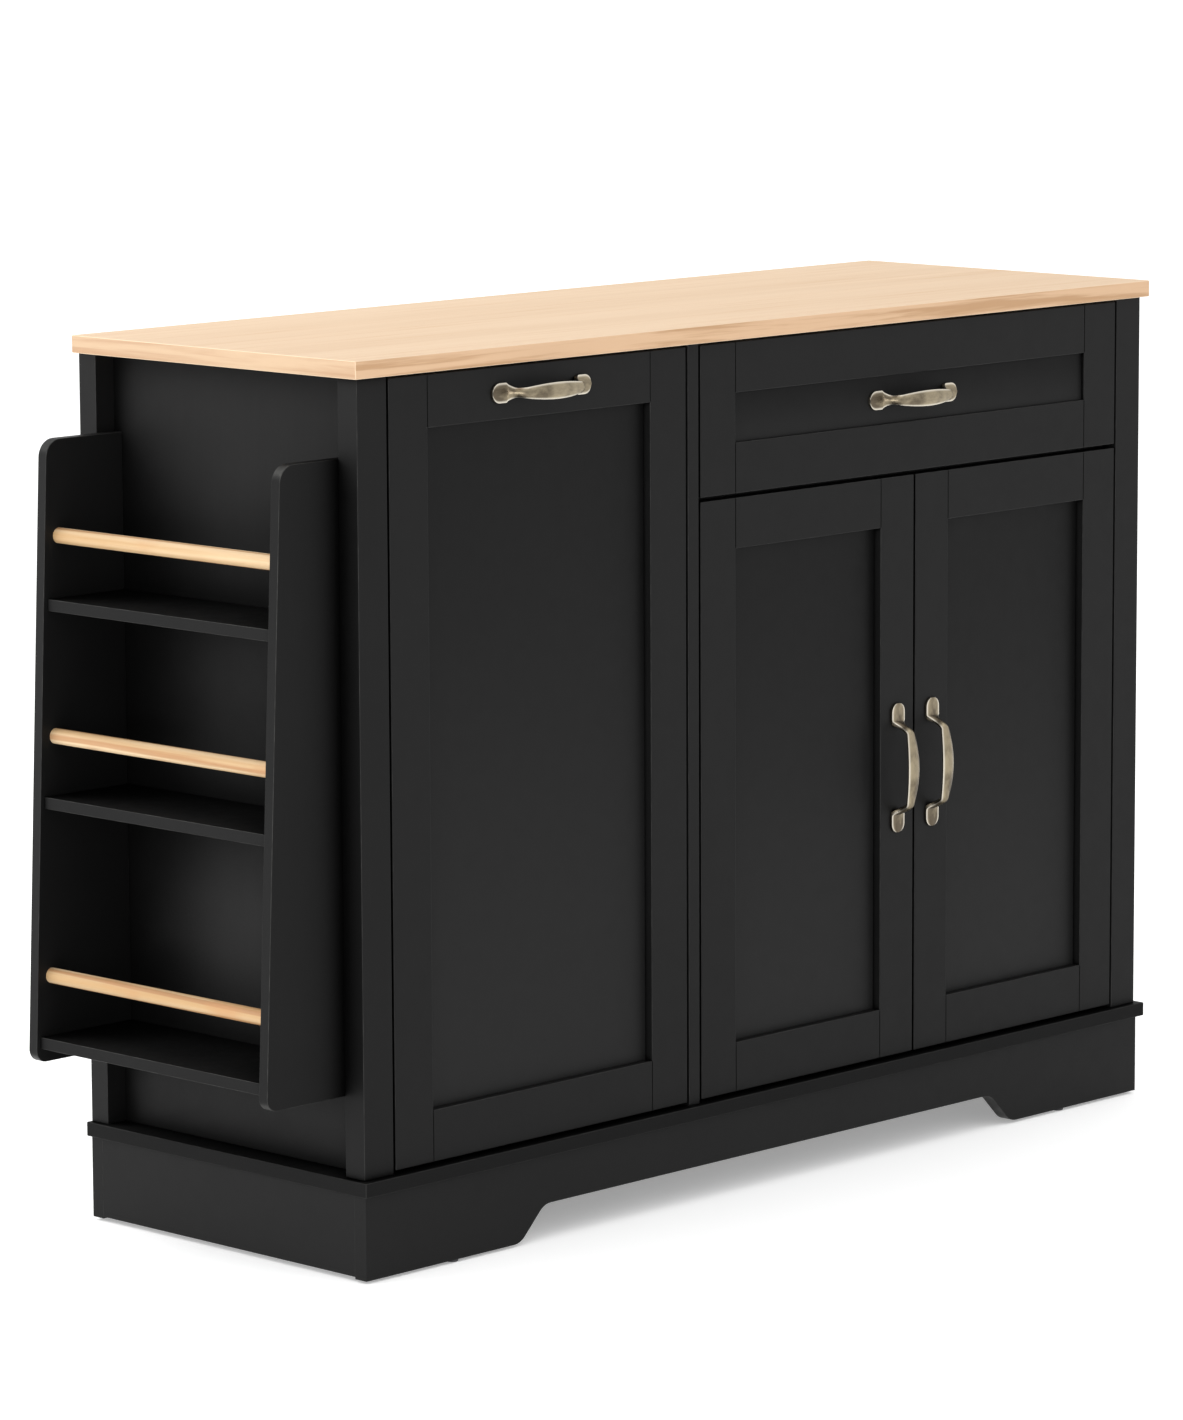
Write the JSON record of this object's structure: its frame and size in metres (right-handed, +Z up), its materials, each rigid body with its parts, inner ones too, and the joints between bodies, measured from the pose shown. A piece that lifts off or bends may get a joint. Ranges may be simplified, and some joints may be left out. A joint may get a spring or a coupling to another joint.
{
  "type": "kitchen island cart",
  "caption": "Black kitchen island with a pale wood top, a pull-out bin bay, a drawer over a cupboard with paired doors, and an open spice rack on one end.",
  "frame": {"origin": "centre of the overall footprint, at floor level", "axes": "+X along the island from the spice-rack end to the plain end, +Y from the fronts to the back, +Z up"},
  "size_m": [1.3149, 0.4334, 0.917],
  "materials": {
    "black_paint": "satin black paint on solid wood and board",
    "pale_oak": "clear satin lacquer on pale straight-grained wood",
    "pine": "bare sanded pine dowel",
    "antique_brass": "brushed antique brass with polished edges",
    "zinc_steel": "zinc-plated pressed steel",
    "grey_plastic": "moulded dark plastic",
    "birch_plywood": "clear-lacquered birch plywood"
  },
  "bodies": {
    "cabinet": {"worktop": "pale_oak", "front_left_post": "black_paint", "front_right_post": "black_paint", "back_left_post": "black_paint", "back_right_post": "black_paint", "left_side_panel": "black_paint", "right_side_panel": "black_paint", "centre_partition": "black_paint", "base_board": "black_paint", "back_sheets": "black_paint", "back_centre_stile": "black_paint", "front_top_rails": "black_paint", "back_top_rails": "black_paint", "drawer_rail": "black_paint", "cupboard_shelf": "black_paint", "shelf_pins": "zinc_steel", "plinth_front": "black_paint", "plinth_back": "black_paint", "plinth_left": "black_paint", "plinth_right": "black_paint", "plinth_brace": "black_paint", "plinth_corner_blocks": "black_paint", "floor_glides": "grey_plastic", "rack_front_side": "black_paint", "rack_back_side": "black_paint", "rack_top_shelf": "black_paint", "rack_middle_shelf": "black_paint", "rack_bottom_shelf": "black_paint", "rack_dowels": "pine", "cabinet_slide_members": "zinc_steel", "hinge_arms": "zinc_steel", "magnetic_catch": "grey_plastic"},
    "pull_out_bin": {"bin_front_stiles": "black_paint", "bin_front_rails": "black_paint", "bin_front_panel": "black_paint", "bin_handle": "antique_brass", "bin_box_sides": "birch_plywood", "bin_box_ends": "birch_plywood", "bin_box_bottom": "birch_plywood", "bin_slide_members": "zinc_steel"},
    "bin_middle_slides": {"bin_middle_members": "zinc_steel"},
    "drawer": {"drawer_front_stiles": "black_paint", "drawer_front_rails": "black_paint", "drawer_front_panel": "black_paint", "drawer_handle": "antique_brass", "drawer_box_sides": "birch_plywood", "drawer_box_ends": "birch_plywood", "drawer_box_bottom": "birch_plywood", "drawer_slide_members": "zinc_steel"},
    "drawer_middle_slides": {"drawer_middle_members": "zinc_steel"},
    "left_door": {"left_door_stiles": "black_paint", "left_door_rails": "black_paint", "left_door_panel": "black_paint", "left_door_handle": "antique_brass", "left_door_hinge_cups": "zinc_steel"},
    "right_door": {"right_door_stiles": "black_paint", "right_door_rails": "black_paint", "right_door_panel": "black_paint", "right_door_handle": "antique_brass", "right_door_hinge_cups": "zinc_steel"}
  },
  "joints": [
    {"name": "drawer_slide", "type": "slide", "parent": "cabinet", "child": "drawer", "axis": [0, -1, 0], "range_m": [0, 0.35]},
    {"name": "drawer_middle_slide", "type": "slide", "parent": "cabinet", "child": "drawer_middle_slides", "axis": [0, -1, 0], "range_m": [0, 0.175]},
    {"name": "bin_slide", "type": "slide", "parent": "cabinet", "child": "pull_out_bin", "axis": [0, -1, 0], "range_m": [0, 0.35]},
    {"name": "bin_middle_slide", "type": "slide", "parent": "cabinet", "child": "bin_middle_slides", "axis": [0, -1, 0], "range_m": [0, 0.175]},
    {"name": "left_door_hinge", "type": "hinge", "parent": "cabinet", "child": "left_door", "pos_m": [-0.06525, -0.18975, 0.421], "axis": [0, 0, -1], "range_deg": [0, 90]},
    {"name": "right_door_hinge", "type": "hinge", "parent": "cabinet", "child": "right_door", "pos_m": [0.60825, -0.18975, 0.421], "axis": [0, 0, 1], "range_deg": [0, 90]}
  ],
  "couplings": [
    {"joint": "drawer_middle_slide", "follows": "drawer_slide", "ratio": 0.5},
    {"joint": "bin_middle_slide", "follows": "bin_slide", "ratio": 0.5}
  ]
}
